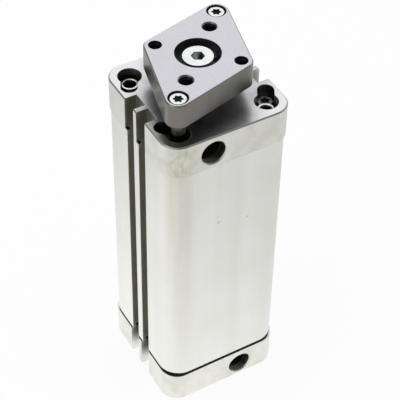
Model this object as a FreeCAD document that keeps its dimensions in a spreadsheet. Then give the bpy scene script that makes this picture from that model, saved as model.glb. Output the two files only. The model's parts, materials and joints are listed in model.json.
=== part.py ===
import FreeCAD, Part
import os
import re
import Sketcher

# Compact guided pneumatic cylinder, retracted, standing on its rear cap.
# Z runs along the piston rod, the two ports face -Y, and the sensor slots are in the X faces.

doc = FreeCAD.newDocument("CompactCylinder")
sheet = doc.addObject("Spreadsheet::Sheet", "Sizes")
nodes = []

# Driving sizes, in millimetres
sizes = {
    # Motion
    "bore_diameter": 32,
    "stroke": 80,
    "end_gap": 0.2,  # piston to bumper at each end of the stroke
    # Square body, caps and barrel profile
    "body_width": 45.5,
    "cap_corner_radius": 6.5,
    "tube_corner_radius": 7.9,
    "cap_edge_chamfer": 0.4,
    "front_cap_height": 12.3,
    "rear_cap_height": 12.9,
    "gasket_thickness": 1.5,
    "gasket_inset": 0.05,
    "spigot_length": 3.0,  # how far a cap reaches into the barrel, gasket included
    "spigot_clearance": 0.05,
    "cut_margin": 1.0,  # how far an open cut runs past the face it opens
    # Sensor slots
    "fin_width": 1.8,  # wall between the two slots of one face
    "slot_width": 5.85,
    "slot_opening": 4.5,  # mouth of the slot between its lip and its straight wall
    "slot_depth": 4.36,
    "lip_thickness": 1.3,
    # Air ports
    "port_diameter": 8.57,
    "port_chamfer": 0.4,
    "port_offset": 6.85,  # sideways from the middle of the face
    "port_shift": 0.5,  # below the middle of its cap's height
    "passage_diameter": 3.0,  # from a port into the barrel
    "passage_reach": 9.9,  # of the passage from the middle of the cap, along Y
    # Corner bores, tie sleeves and cap screws
    "corner_margin": 6.75,  # from the body's faces to a corner bore's axis
    "corner_bore_depth": 8,
    "sleeve_diameter": 5.8,
    "sleeve_gap": 1.1,  # round a sleeve's free end in its corner bore
    "sleeve_hole_diameter": 4.2,
    "sleeve_chamfer": 0.15,
    "sleeve_depth": 3.2,  # from the cap's face to the sleeve's end
    "sleeve_grip": 8,  # length held in the barrel
    "cap_screw_margin": 4.0,  # from the slotted face to a cap screw's axis
    "bore_overlap": 1.14,  # of a screw's bore with the corner bore beside it
    "cap_screw_sink": 4.5,  # from the cap's face to a screw's head
    "cap_screw_head": 5.0,
    "cap_screw_gap": 0.26,  # round a screw's head in its bore
    "cap_screw_head_height": 2.6,
    "cap_screw_diameter": 3.0,
    "cap_screw_grip": 9,  # length held in the barrel
    "hole_clearance": 0.15,  # round a shank in a plain hole
    "thread_clearance": 0.02,  # round a shank in its tapped hole
    # Rod, its bush and seals
    "rod_diameter": 12,
    "running_clearance": 0.03,
    "rod_bush_wall": 1.97,
    "wiper_section": 2.72,
    "wiper_height": 3.4,
    "wiper_lip": 0.7,
    "bush_shoulder": 1.2,  # cap left between rod bush and wiper
    "bumper_gap": 0.5,  # round the rod
    "bumper_width": 3.0,
    "bumper_thickness": 2.0,
    "bumper_seat": 1.5,
    "cap_ring_section": 1.5,
    "ring_clearance": 0.05,
    # Guide pins and their bushes
    "pin_diameter": 5,
    "guide_bush_wall": 0.97,
    "guide_bush_reach": 3,  # into the barrel
    "pin_end_gap": 2.2,  # guide pin's end above the rear tie sleeves
    # Piston
    "piston_clearance": 0.4,
    "piston_wall": 0.9,  # between a seal's groove and the guide ring's
    "seal_land": 1.0,
    "seal_width": 2.6,
    "seal_height": 3.47,
    "seal_lip": 0.55,
    "guide_ring_width": 2.9,
    "guide_ring_thickness": 1.37,
    "magnet_wall": 1.25,  # between the magnet and the guide ring's groove
    "magnet_thickness": 3.8,
    "rod_spigot_diameter": 8,
    "piston_web": 1.4,  # between the rod's end and the bolt's head
    "piston_bolt_head": 10,
    "piston_bolt_head_height": 3,
    "piston_bolt_diameter": 6,
    "piston_bolt_grip": 10,  # length held in the rod
    "piston_bolt_hex": 4,
    "head_clearance": 0.3,
    "rod_ring_section": 1.4,
    "tap_margin": 1.2,  # tapped depth past a screw's end
    # Yoke plate and its screws
    "plate_gap": 5.5,  # above the front cap when retracted
    "plate_thickness": 9.0,
    "plate_tip_radius": 4.2,  # round the guide pins
    "plate_side_radius": 3.75,  # round the two screw holes nearest the sides
    "plate_chamfer": 0.4,
    "plate_hole_diameter": 4.4,
    "plate_hole_inset": 6.13,  # from a guide pin's axis to a screw hole's, along X and Y
    "plate_hole_chamfer": 0.4,
    "rod_socket_depth": 2,
    "pin_socket_depth": 4,
    "socket_clearance": 0.02,
    "yoke_bore_diameter": 14.9,
    "yoke_screw_sink": 1.2,  # head below the plate's top
    "yoke_screw_head": 10,
    "yoke_screw_head_height": 4.1,
    "yoke_screw_diameter": 6,
    "yoke_screw_length": 14,
    "yoke_screw_hex": 4,
    "pin_screw_sink": 0.4,  # head below the plate's top
    "pin_screw_gap": 0.7,  # round the head in its bore
    "pin_screw_head": 5.2,
    "pin_screw_head_height": 2.4,
    "pin_screw_diameter": 3,
    "pin_screw_length": 11,
    "lobe_socket_diameter": 2.5,
    "lobe_diameter": 0.84,
    "socket_share": 0.6,  # socket's depth over the head's height
}
for row, (alias, value) in enumerate(sizes.items(), start=1):
    sheet.set(f"A{row}", str(value))
    sheet.setAlias(f"A{row}", alias)
doc.recompute()

# Levels along the cylinder and places across it, worked out from the sizes
half_width = "(body_width / 2)"
corner = f"({half_width} - corner_margin)"
plate_hole = f"({corner} - plate_hole_inset)"
cap_screw_x = f"({half_width} - cap_screw_margin)"
corner_bore = "(sleeve_diameter / 2 + sleeve_gap)"
cap_screw_bore = "(cap_screw_head / 2 + cap_screw_gap)"
cap_screw_seat = "(cap_screw_sink + cap_screw_head_height)"
screw_reach = f"({corner_bore} + {cap_screw_bore} - bore_overlap)"
cap_screw_y = f"({corner} - sqrt({screw_reach} ^ 2 - ({cap_screw_x} - {corner}) ^ 2))"
bumper_proud = "(bumper_thickness - bumper_seat)"
tube_bottom = "(rear_cap_height + gasket_thickness)"
rear_spigot_top = "(rear_cap_height + spigot_length)"
piston_bottom = f"({rear_spigot_top} + {bumper_proud} + end_gap)"
piston_half = "(seal_land + seal_width + piston_wall + guide_ring_width / 2)"
split = f"({piston_bottom} + {piston_half})"
piston_top = f"({split} + {piston_half})"
front_spigot_bottom = f"({piston_top} + stroke + end_gap + {bumper_proud})"
tube_top = f"({front_spigot_bottom} + spigot_length)"
body_top = f"({tube_top} + front_cap_height)"
plate_bottom = f"({body_top} + plate_gap)"
plate_top = f"({plate_bottom} + plate_thickness)"
bush_top = f"({body_top} - wiper_height - bush_shoulder)"
sleeve_hole = "(sleeve_diameter / 2 + thread_clearance)"
cap_screw_hole = "(cap_screw_diameter / 2 + hole_clearance)"
cap_screw_tap = "(cap_screw_diameter / 2 + thread_clearance)"
spigot_radius = "(bore_diameter / 2 - spigot_clearance)"
bolt_seat = "(piston_bolt_head_height + head_clearance)"
rod_end = f"({piston_bottom} + {bolt_seat} + piston_web)"
piston_radius = "(bore_diameter / 2 - piston_clearance)"
rod_hole = "(rod_spigot_diameter / 2 + socket_clearance)"
running_radius = "(bore_diameter / 2 - running_clearance)"
ring_root = f"({running_radius} - guide_ring_thickness)"
seal_root = f"({running_radius} - seal_height)"
magnet_pocket = f"({ring_root} - magnet_wall)"
magnet_radius = f"({magnet_pocket} - ring_clearance)"
magnet_hole = f"({magnet_radius} - magnet_thickness)"
magnet_core = f"({magnet_hole} - ring_clearance)"
rod_running = "(rod_diameter / 2 + running_clearance)"
rod_bush_radius = f"({rod_running} + rod_bush_wall)"
wiper_radius = f"({rod_running} + wiper_section)"
bumper_hole = "(rod_diameter / 2 + bumper_gap)"
bumper_radius = f"({bumper_hole} + bumper_width)"
pin_running = "(pin_diameter / 2 + running_clearance)"
guide_bush_radius = f"({pin_running} + guide_bush_wall)"
guide_bush_top = f"({body_top} - corner_bore_depth)"
front_port_level = f"({tube_top} + front_cap_height / 2 - port_shift)"
rear_port_level = "(rear_cap_height / 2 - port_shift)"
yoke_bore_depth = "(yoke_screw_head_height + yoke_screw_sink)"
pin_bore_depth = "(pin_screw_head_height + pin_screw_sink)"
half_ring = "(guide_ring_width / 2)"
four_corners = [(x, y) for x in (-1, 1) for y in (-1, 1)]
guide_corners = [(-1, -1), (1, 1)]
sleeve_corners = [(-1, 1), (1, -1)]
flat = 1e-6  # how close two levels or places are when they are the same


def bound(expression):
    # Spells each size's name the way a piece refers to the sheet.
    return re.sub(r"\w+", lambda word: "Sizes." + word[0] if word[0] in sizes else word[0], expression)


def number(expression):
    return float(sheet.evalExpression(bound(expression)))


def piece(label):
    body = doc.addObject("PartDesign::Body", label)
    body.Label = label
    nodes.append(body)
    return body


def sketch_on(body, role, lift):
    sketch = body.newObject("Sketcher::SketchObject", body.Name + "_sketch")
    plane = [feature for feature in body.Origin.OriginFeatures if feature.Role == role][0]
    sketch.AttachmentSupport = [(plane, "")]
    sketch.MapMode = "FlatFace"
    sketch.setExpression(".AttachmentOffset.Base.z", bound(lift))
    return sketch


def tie(sketch, kind, place, expression):
    index = sketch.addConstraint(Sketcher.Constraint(kind, *place, number(expression)))
    sketch.setExpression("Constraints[%d]" % index, bound(expression))


def outline(sketch, corners):
    # A closed outline of straight edges, with each corner tied to its two expressions.
    points = [FreeCAD.Vector(number(x), number(y), 0) for x, y in corners]
    following = points[1:] + points[:1]
    edges = [sketch.addGeometry(Part.LineSegment(*ends)) for ends in zip(points, following)]
    for edge, after in zip(edges, edges[1:] + edges[:1]):
        sketch.addConstraint(Sketcher.Constraint("Coincident", edge, 2, after, 1))
    for edge, (x, y) in zip(edges, corners):
        tie(sketch, "DistanceX", (edge, 1), x)
        tie(sketch, "DistanceY", (edge, 1), y)


def circle(sketch, x, y, radius):
    middle = FreeCAD.Vector(number(x), number(y), 0)
    edge = sketch.addGeometry(Part.Circle(middle, FreeCAD.Vector(0, 0, 1), number(radius)))
    tie(sketch, "DistanceX", (edge, 3), x)
    tie(sketch, "DistanceY", (edge, 3), y)
    tie(sketch, "Radius", (edge,), radius)


def square(sketch, half):
    minus = f"-({half})"
    outline(sketch, [(minus, minus), (half, minus), (half, half), (minus, half)])


def pad(body, sketch, length, downward=False):
    feature = body.newObject("PartDesign::Pad", body.Name + "_pad")
    feature.Profile = sketch
    feature.Reversed = downward
    feature.setExpression("Length", bound(length))
    doc.recompute()
    return feature


def pocket(body, sketch, depth, upward=False):
    before = body.Shape.Volume
    feature = body.newObject("PartDesign::Pocket", body.Name + "_pocket")
    feature.Profile = sketch
    feature.Reversed = upward
    feature.setExpression("Length", bound(depth))
    doc.recompute()
    if not feature.Shape.Volume < before:
        raise ValueError(feature.Name + " cuts nothing")
    return feature


def revolve(body, sketch):
    feature = body.newObject("PartDesign::Revolution", body.Name + "_turn")
    feature.Profile = sketch
    feature.ReferenceAxis = (sketch, ["V_Axis"])
    doc.recompute()


def turned(label, profile):
    # A piece turned from a half profile of (radius, height) corners.
    body = piece(label)
    sketch = sketch_on(body, "XZ_Plane", "0")
    outline(sketch, profile)
    revolve(body, sketch)
    return body


def ring(label, inner, outer, bottom, top):
    return turned(label, [(inner, bottom), (outer, bottom), (outer, top), (inner, top)])


def cord_ring(label, middle, section, height):
    # A round-section sealing ring.
    body = piece(label)
    sketch = sketch_on(body, "XZ_Plane", "0")
    circle(sketch, middle, height, section)
    revolve(body, sketch)
    return body


def groove(body, inner, outer, bottom, top):
    before = body.Shape.Volume
    sketch = sketch_on(body, "XZ_Plane", "0")
    outline(sketch, [(inner, bottom), (outer, bottom), (outer, top), (inner, top)])
    feature = body.newObject("PartDesign::Groove", body.Name + "_groove")
    feature.Profile = sketch
    feature.ReferenceAxis = (sketch, ["V_Axis"])
    doc.recompute()
    if not feature.Shape.Volume < before:
        raise ValueError(feature.Name + " cuts nothing")


def holes(body, level, depth, radius, places, upward=False):
    # Round holes drilled along Z from one level.
    sketch = sketch_on(body, "XY_Plane", level)
    for x, y in places:
        circle(sketch, x, y, radius)
    pocket(body, sketch, depth, upward)


def at_corners(signs, x=corner, y=corner):
    return [(f"{side} * {x}", f"{end} * {y}") for side, end in signs]


def edges_where(feature, test):
    return ["Edge%d" % (index + 1) for index, edge in enumerate(feature.Shape.Edges) if test(edge)]


def upright(edge):
    rise = edge.Vertexes[-1].Point - edge.Vertexes[0].Point
    return rise.Length > 0 and abs(rise.normalize().z) > 1 - flat


def level_with(height):
    return lambda edge: all(abs(vertex.Z - number(height)) < flat for vertex in edge.Vertexes)


def rounded(body, base, test, radius):
    feature = body.newObject("PartDesign::Fillet", body.Name + "_fillet")
    feature.Base = (base, edges_where(base, test))
    feature.setExpression("Radius", bound(radius))
    doc.recompute()
    return feature


def bevelled(body, base, test, amount):
    feature = body.newObject("PartDesign::Chamfer", body.Name + "_chamfer")
    feature.Base = (base, edges_where(base, test))
    feature.setExpression("Size", bound(amount))
    doc.recompute()
    return feature


upside_down = FreeCAD.Placement(FreeCAD.Vector(), FreeCAD.Rotation(FreeCAD.Vector(1, 0, 0), 180))


def seat(body, x, y, z):
    body.setExpression(".Placement.Base.x", bound(x))
    body.setExpression(".Placement.Base.y", bound(y))
    body.setExpression(".Placement.Base.z", bound(z))


def mirrored(source, normal):
    copy = doc.addObject("Part::Mirroring", source.Name + "_mirror")
    copy.Source = source
    copy.Normal = FreeCAD.Vector(*normal)
    return copy


def grouped(label, one, copies):
    # One node of separate equal solids.
    nodes.remove(one)
    one.Label = label + "_one"
    group = doc.addObject("Part::Compound", label)
    group.Label = label
    group.Links = [one] + copies
    nodes.append(group)


def in_four_corners(label, one):
    across = mirrored(one, (1, 0, 0))
    grouped(label, one, [across, mirrored(one, (0, 1, 0)), mirrored(across, (0, 1, 0))])


def square_block(body, level, height, half, radius):
    sketch = sketch_on(body, "XY_Plane", level)
    square(sketch, half)
    return rounded(body, pad(body, sketch, height), upright, radius)


def sensor_notches(body, level, height):
    # Straight-sided slots through a cap, as wide as the barrel's slots are behind their lips.
    inner = f"({half_width} - slot_depth)"
    outer = f"({half_width} + cut_margin)"
    near = "(fin_width / 2)"
    far = "(fin_width / 2 + slot_width)"
    sketch = sketch_on(body, "XY_Plane", level)
    for side, end in four_corners:
        outline(sketch, [(f"{side} * {inner}", f"{end} * {near}"), (f"{side} * {outer}", f"{end} * {near}"),
                         (f"{side} * {outer}", f"{end} * {far}"), (f"{side} * {inner}", f"{end} * {far}")])
    pocket(body, sketch, height, upward=True)


def sensor_slots(body, level, height):
    # Slots with one lip each, along the barrel's whole length.
    inner = f"({half_width} - slot_depth)"
    outer = f"({half_width} + cut_margin)"
    behind_lip = f"({half_width} - lip_thickness)"
    sketch = sketch_on(body, "XY_Plane", level)
    for side in (-1, 1):
        for start in ("(fin_width / 2)", "(-fin_width / 2 - slot_width)"):
            mouth = f"{start} + slot_opening"
            far = f"{start} + slot_width"
            outline(sketch, [(f"{side} * {inner}", start), (f"{side} * {outer}", start),
                             (f"{side} * {outer}", mouth), (f"{side} * {behind_lip}", mouth),
                             (f"{side} * {behind_lip}", far), (f"{side} * {inner}", far)])
    pocket(body, sketch, height, upward=True)


def air_port(body, across, height, mouth_level, passage_depth, upward):
    # A tapped port in the -Y face and the drilled passage that leads from it into the barrel.
    face = sketch_on(body, "XZ_Plane", half_width)
    circle(face, across, height, "port_diameter / 2")
    drilled = pocket(body, face, f"{half_width} - passage_reach")
    front = number(f"-{half_width}")
    rim = lambda edge: len(edge.Vertexes) == 1 and abs(edge.Vertexes[0].Y - front) < flat
    bevelled(body, drilled, rim, "port_chamfer")
    holes(body, mouth_level, passage_depth, "passage_diameter / 2", [(across, "-passage_reach")], upward)


def screw_pockets(body, face, depth, upward):
    # Keyholes in a cap: each cap screw stands at the end of a slot that runs into its corner bore.
    along_x = f"(({corner} - {cap_screw_x}) / {screw_reach})"
    along_y = f"(({corner} - {cap_screw_y}) / {screw_reach})"
    screws = at_corners(four_corners, cap_screw_x, cap_screw_y)
    holes(body, face, cap_screw_seat, cap_screw_bore, screws, upward)
    holes(body, face, depth, cap_screw_hole, screws, upward)
    sketch = sketch_on(body, "XY_Plane", face)
    for side, end in four_corners:
        edges = [(cap_screw_x, cap_screw_y, 1), (cap_screw_x, cap_screw_y, -1), (corner, corner, -1),
                 (corner, corner, 1)]
        outline(sketch, [(f"{side} * ({x} + {turn} * {along_y} * {cap_screw_bore})",
                          f"{end} * ({y} - {turn} * {along_x} * {cap_screw_bore})") for x, y, turn in edges])
    pocket(body, sketch, cap_screw_seat, upward)


def make_rear_cap():
    body = piece("rear_cap")
    block = square_block(body, "0", "rear_cap_height", half_width, "cap_corner_radius")
    bevelled(body, block, level_with("0"), "cap_edge_chamfer")
    spigot = sketch_on(body, "XY_Plane", "rear_cap_height")
    circle(spigot, "0", "0", spigot_radius)
    pad(body, spigot, "spigot_length")
    holes(body, rear_spigot_top, "bumper_seat", bumper_radius, [("0", "0")])
    holes(body, "0", "corner_bore_depth", corner_bore, at_corners(four_corners), True)
    holes(body, "0", "rear_cap_height", sleeve_hole, at_corners(four_corners), True)
    screw_pockets(body, "0", "rear_cap_height", True)
    sensor_notches(body, "0", "rear_cap_height")
    air_port(body, "port_offset", rear_port_level, rear_spigot_top,
             f"{rear_spigot_top} - {rear_port_level}", False)


def make_rear_gasket():
    body = piece("rear_gasket")
    half = f"({half_width} - gasket_inset)"
    square_block(body, "rear_cap_height", "gasket_thickness", half, "tube_corner_radius")
    middle = [("0", "0")]
    holes(body, "rear_cap_height", "gasket_thickness", "bore_diameter / 2", middle, True)
    holes(body, "rear_cap_height", "gasket_thickness", sleeve_hole, at_corners(four_corners), True)
    screws = at_corners(four_corners, cap_screw_x, cap_screw_y)
    holes(body, "rear_cap_height", "gasket_thickness", cap_screw_hole, screws, True)
    sensor_notches(body, "rear_cap_height", "gasket_thickness")


def make_barrel_tube():
    body = piece("barrel_tube")
    length = f"({tube_top} - {tube_bottom})"
    square_block(body, tube_bottom, length, half_width, "tube_corner_radius")
    holes(body, tube_bottom, length, "bore_diameter / 2", [("0", "0")], True)
    holes(body, tube_bottom, length, sleeve_hole, at_corners(four_corners), True)
    holes(body, tube_top, "guide_bush_reach", guide_bush_radius, at_corners(guide_corners))
    screws = at_corners(four_corners, cap_screw_x, cap_screw_y)
    tapped = "cap_screw_grip + tap_margin"
    holes(body, tube_top, tapped, cap_screw_tap, screws)
    holes(body, tube_bottom, tapped, cap_screw_tap, screws, True)
    sensor_slots(body, tube_bottom, length)


def make_front_cap():
    body = piece("front_cap")
    middle = [("0", "0")]
    block = square_block(body, tube_top, "front_cap_height", half_width, "cap_corner_radius")
    bevelled(body, block, level_with(body_top), "cap_edge_chamfer")
    spigot = sketch_on(body, "XY_Plane", tube_top)
    circle(spigot, "0", "0", spigot_radius)
    pad(body, spigot, "spigot_length", True)
    groove(body, "bore_diameter / 2 - cap_ring_section - ring_clearance", "bore_diameter / 2 + cut_margin",
           f"{tube_top} - spigot_length / 2 - cap_ring_section / 2 - ring_clearance",
           f"{tube_top} - spigot_length / 2 + cap_ring_section / 2 + ring_clearance")
    holes(body, front_spigot_bottom, "bumper_seat", bumper_radius, middle, True)
    holes(body, front_spigot_bottom, f"{bush_top} - {front_spigot_bottom}", rod_bush_radius, middle, True)
    holes(body, body_top, "wiper_height", wiper_radius, middle)
    holes(body, body_top, "front_cap_height", "rod_diameter / 2 + head_clearance", middle)
    holes(body, body_top, "corner_bore_depth", corner_bore, at_corners(four_corners))
    holes(body, body_top, "front_cap_height", guide_bush_radius, at_corners(guide_corners))
    holes(body, body_top, "front_cap_height", sleeve_hole, at_corners(sleeve_corners))
    screw_pockets(body, body_top, "front_cap_height", False)
    sensor_notches(body, tube_top, "front_cap_height")
    air_port(body, "-port_offset", front_port_level, front_spigot_bottom,
             f"{front_port_level} - {front_spigot_bottom}", True)


def make_barrel_fittings():
    cord_ring("front_cap_seal", "bore_diameter / 2 - ring_clearance / 2 - cap_ring_section / 2",
              "cap_ring_section / 2", f"{tube_top} - spigot_length / 2")
    ring("rod_bush", rod_running, rod_bush_radius,
         f"{front_spigot_bottom} + bumper_seat", bush_top)
    ring("front_bumper", bumper_hole, bumper_radius,
         f"{front_spigot_bottom} - {bumper_proud}", f"{front_spigot_bottom} + bumper_seat")
    ring("rear_bumper", bumper_hole, bumper_radius,
         f"{rear_spigot_top} - bumper_seat", f"{rear_spigot_top} + {bumper_proud}")
    wiper_bottom = f"{body_top} - wiper_height"
    lip_root = f"{rod_running} + wiper_lip"
    turned("rod_wiper", [(lip_root, wiper_bottom), (wiper_radius, wiper_bottom), (wiper_radius, body_top),
                         (lip_root, body_top), (rod_running, f"{body_top} + wiper_lip"),
                         (rod_running, f"{body_top} - wiper_lip")])
    for name, (side, end) in zip(("near", "far"), guide_corners):
        bush = ring("guide_bush_" + name, pin_running, guide_bush_radius,
                    f"{tube_top} - guide_bush_reach", guide_bush_top)
        seat(bush, f"{side} * {corner}", f"{end} * {corner}", "0")


def make_tie_sleeves():
    # Hollow screws that clamp the caps in the corners and take the mounting screws in their own thread.
    inner = "sleeve_hole_diameter / 2"
    mouth = f"{inner} + sleeve_chamfer"
    outer = "sleeve_diameter / 2"

    def sleeve(label, inside, outside, bevel):
        return turned(label, [(inner, inside), (outer, inside), (outer, outside), (mouth, outside),
                              (inner, f"{outside} {bevel} sleeve_chamfer")])

    front = sleeve("front_sleeve", f"{tube_top} - sleeve_grip", f"{body_top} - sleeve_depth", "-")
    seat(front, f"-{corner}", corner, "0")
    grouped("front_tie_sleeves", front, [mirrored(front, (1, -1, 0))])
    rear = sleeve("rear_sleeve", f"{tube_bottom} + sleeve_grip", "sleeve_depth", "+")
    seat(rear, corner, corner, "0")
    in_four_corners("rear_tie_sleeves", rear)


def screw(label, head, head_height, shank, length):
    # A cylinder-head screw that seats at its own zero level.
    return turned(label, [("0", f"-({length})"), (f"{shank} / 2", f"-({length})"), (f"{shank} / 2", "0"),
                          (f"{head} / 2", "0"), (f"{head} / 2", head_height), ("0", head_height)])


def in_six(reach):
    # Six places at one reach round a screw's axis.
    return [(f"{reach} * cos({turn} deg)", f"{reach} * sin({turn} deg)") for turn in range(0, 360, 60)]


def hex_socket(body, head_height, across_flats):
    sketch = sketch_on(body, "XY_Plane", head_height)
    outline(sketch, in_six(f"{across_flats} / sqrt(3)"))
    pocket(body, sketch, f"{head_height} * socket_share")


def lobe_socket(body, head_height):
    depth = f"{head_height} * socket_share"
    holes(body, head_height, depth, "lobe_socket_diameter / 2", [("0", "0")])
    holes(body, head_height, depth, "lobe_diameter / 2", in_six("lobe_socket_diameter / 2"))


def make_cap_screws():
    lengths = {"front": f"front_cap_height - {cap_screw_seat} + cap_screw_grip",
               "rear": f"{tube_bottom} - {cap_screw_seat} + cap_screw_grip"}
    levels = {"front": f"{body_top} - {cap_screw_seat}", "rear": cap_screw_seat}
    for end, length in lengths.items():
        one = screw(end + "_screw", "cap_screw_head", "cap_screw_head_height", "cap_screw_diameter", length)
        lobe_socket(one, "cap_screw_head_height")
        if end == "rear":
            one.Placement = upside_down
        seat(one, cap_screw_x, cap_screw_y, levels[end])
        in_four_corners(end + "_cap_screws", one)


def make_piston_rod():
    spigot = "rod_spigot_diameter / 2"
    outer = "rod_diameter / 2"
    top = f"({plate_bottom} + rod_socket_depth)"
    body = turned("piston_rod", [("0", rod_end), (spigot, rod_end), (spigot, piston_top),
                                 (outer, piston_top), (outer, top), ("0", top)])
    middle = [("0", "0")]
    holes(body, top, f"{top} - {plate_top} + {yoke_bore_depth} + yoke_screw_length + tap_margin",
          "yoke_screw_diameter / 2 + thread_clearance", middle)
    holes(body, rod_end, "piston_bolt_grip + tap_margin",
          "piston_bolt_diameter / 2 + thread_clearance", middle, True)


def make_piston():
    # Two halves that hold the magnet between them and carry a lip seal each.
    bolt_hole = "(piston_bolt_diameter / 2 + hole_clearance)"
    head_bore = "(piston_bolt_head / 2 + head_clearance)"
    seat_level = f"({piston_bottom} + {bolt_seat})"
    bores = {"front": [(rod_hole, split), (rod_hole, piston_top)],
             "rear": [(rod_hole, split), (rod_hole, rod_end), (bolt_hole, rod_end), (bolt_hole, seat_level),
                      (head_bore, seat_level), (head_bore, piston_bottom)]}
    for end, inward, outward, face in (("rear", "+", "-", piston_bottom), ("front", "-", "+", piston_top)):
        away = f"({face} {inward} seal_land)"
        close = f"({away} {inward} seal_width)"
        ring_edge = f"({split} {outward} {half_ring})"
        body = turned(f"piston_{end}_half", bores[end] + [
            (piston_radius, face), (piston_radius, away), (seal_root, away), (seal_root, close),
            (piston_radius, close), (piston_radius, ring_edge), (ring_root, ring_edge),
            (ring_root, split), (magnet_pocket, split), (magnet_pocket, ring_edge),
            (magnet_core, ring_edge), (magnet_core, split)])
        if end == "front":
            holes(body, split, "rod_ring_section + ring_clearance",
                  f"{rod_hole} + rod_ring_section + ring_clearance", [("0", "0")], True)
        turned(f"piston_{end}_seal", [
            (seal_root, away), (f"{seal_root} + seal_width / 2", away),
            (f"{seal_root} + seal_width * 3 / 4", f"{away} {inward} seal_lip"),
            (f"{running_radius} - seal_lip", away),
            (running_radius, f"{away} {inward} seal_lip"),
            (f"{running_radius} - seal_lip", close), (seal_root, close)])


def make_piston_fittings():
    ring("piston_guide_ring", ring_root, running_radius,
         f"{split} - {half_ring}", f"{split} + {half_ring}")
    ring("magnet_ring", magnet_hole, magnet_radius, f"{split} - {half_ring}", f"{split} + {half_ring}")
    cord_ring("rod_seal_ring", f"{rod_hole} + rod_ring_section / 2", "rod_ring_section / 2",
              f"{split} + rod_ring_section / 2 + ring_clearance / 2")
    bolt = screw("piston_bolt", "piston_bolt_head", "piston_bolt_head_height", "piston_bolt_diameter",
                 "piston_web + piston_bolt_grip")
    hex_socket(bolt, "piston_bolt_head_height", "piston_bolt_hex")
    bolt.Placement = upside_down
    seat(bolt, "0", "0", f"{piston_bottom} + {bolt_seat}")


def make_guide_pins():
    bottom = f"{tube_bottom} + sleeve_grip + pin_end_gap"
    top = f"({plate_bottom} + pin_socket_depth)"
    tapped = f"{top} - {plate_top} + {pin_bore_depth} + pin_screw_length + tap_margin"
    for name, (side, end) in zip(("near", "far"), guide_corners):
        body = turned("guide_pin_" + name, [("0", bottom), ("pin_diameter / 2", bottom),
                                            ("pin_diameter / 2", top), ("0", top)])
        holes(body, top, tapped, "pin_screw_diameter / 2 + thread_clearance", [("0", "0")])
        seat(body, f"{side} * {corner}", f"{end} * {corner}", "0")


def make_yoke_plate():
    # A rhombus whose edges are tangents round the two guide pins and the two screw holes beside them.
    body = piece("yoke_plate")
    pin_reach = f"({corner} * sqrt(2))"
    hole_reach = f"({plate_hole} * sqrt(2))"
    apart = f"sqrt({pin_reach} ^ 2 + {hole_reach} ^ 2)"
    taper = f"asin((plate_side_radius - plate_tip_radius) / {apart})"
    lean = f"({taper} + atan2({hole_reach}; {pin_reach}))"
    half_plate = f"({pin_reach} * sin({lean}) + plate_tip_radius)"
    long_reach = f"{half_plate} / sin({lean}) / sqrt(2)"
    short_reach = f"{half_plate} / cos({lean}) / sqrt(2)"
    sketch = sketch_on(body, "XY_Plane", plate_bottom)
    outline(sketch, [(f"-{long_reach}", f"-{long_reach}"), (short_reach, f"-{short_reach}"),
                     (long_reach, long_reach), (f"-{short_reach}", short_reach)])
    block = pad(body, sketch, "plate_thickness")
    tip = lambda edge: upright(edge) and edge.Vertexes[0].X * edge.Vertexes[0].Y > 0
    block = rounded(body, block, tip, "plate_tip_radius")
    sharp = lambda edge: upright(edge) and abs(edge.Vertexes[0].X + edge.Vertexes[0].Y) < flat
    block = rounded(body, block, sharp, "plate_side_radius")
    either_face = lambda edge: level_with(plate_top)(edge) or level_with(plate_bottom)(edge)
    bevelled(body, block, either_face, "plate_chamfer")
    middle = [("0", "0")]
    pins = at_corners(guide_corners)
    bolts = at_corners(four_corners, plate_hole, plate_hole)
    holes(body, plate_top, yoke_bore_depth, "yoke_bore_diameter / 2", middle)
    holes(body, plate_top, "plate_thickness", "yoke_screw_diameter / 2 + hole_clearance", middle)
    holes(body, plate_bottom, "rod_socket_depth", "rod_diameter / 2 + socket_clearance", middle, True)
    holes(body, plate_top, pin_bore_depth, "pin_screw_head / 2 + pin_screw_gap", pins)
    holes(body, plate_top, "plate_thickness", "pin_screw_diameter / 2 + hole_clearance", pins)
    holes(body, plate_bottom, "pin_socket_depth", "pin_diameter / 2 + socket_clearance", pins, True)
    sketch = sketch_on(body, "XY_Plane", plate_top)
    for x, y in bolts:
        circle(sketch, x, y, "plate_hole_diameter / 2")
    drilled = pocket(body, sketch, "plate_thickness")
    pitch = number(plate_hole)
    wide = number("plate_hole_diameter")

    def tapped_mouth(edge):
        spot = edge.Vertexes[0].Point
        near_hole = abs(abs(spot.x) - pitch) < wide and abs(abs(spot.y) - pitch) < wide
        return len(edge.Vertexes) == 1 and near_hole and spot.x * spot.y > 0 and level_with(plate_top)(edge)

    bevelled(body, drilled, tapped_mouth, "plate_hole_chamfer")


def make_yoke_screws():
    yoke = screw("yoke_screw", "yoke_screw_head", "yoke_screw_head_height", "yoke_screw_diameter",
                 "yoke_screw_length")
    hex_socket(yoke, "yoke_screw_head_height", "yoke_screw_hex")
    seat(yoke, "0", "0", f"{plate_top} - {yoke_bore_depth}")
    one = screw("pin_screw", "pin_screw_head", "pin_screw_head_height", "pin_screw_diameter",
                "pin_screw_length")
    lobe_socket(one, "pin_screw_head_height")
    seat(one, corner, corner, f"{plate_top} - {pin_bore_depth}")
    grouped("guide_pin_screws", one, [mirrored(one, (1, 1, 0))])


make_rear_cap()
make_rear_gasket()
make_barrel_tube()
make_front_cap()
make_barrel_fittings()
make_tie_sleeves()
make_cap_screws()
make_piston_rod()
make_piston()
make_piston_fittings()
make_guide_pins()
make_yoke_plate()
make_yoke_screws()
doc.recompute()

for part in doc.Objects:
    if "Invalid" in part.State or "Error" in part.State:
        raise ValueError(part.Label + " failed to build")
for part in nodes:
    if part.Shape.isNull() or not part.Shape.isValid():
        raise ValueError(part.Label + " has no sound shape")

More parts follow.
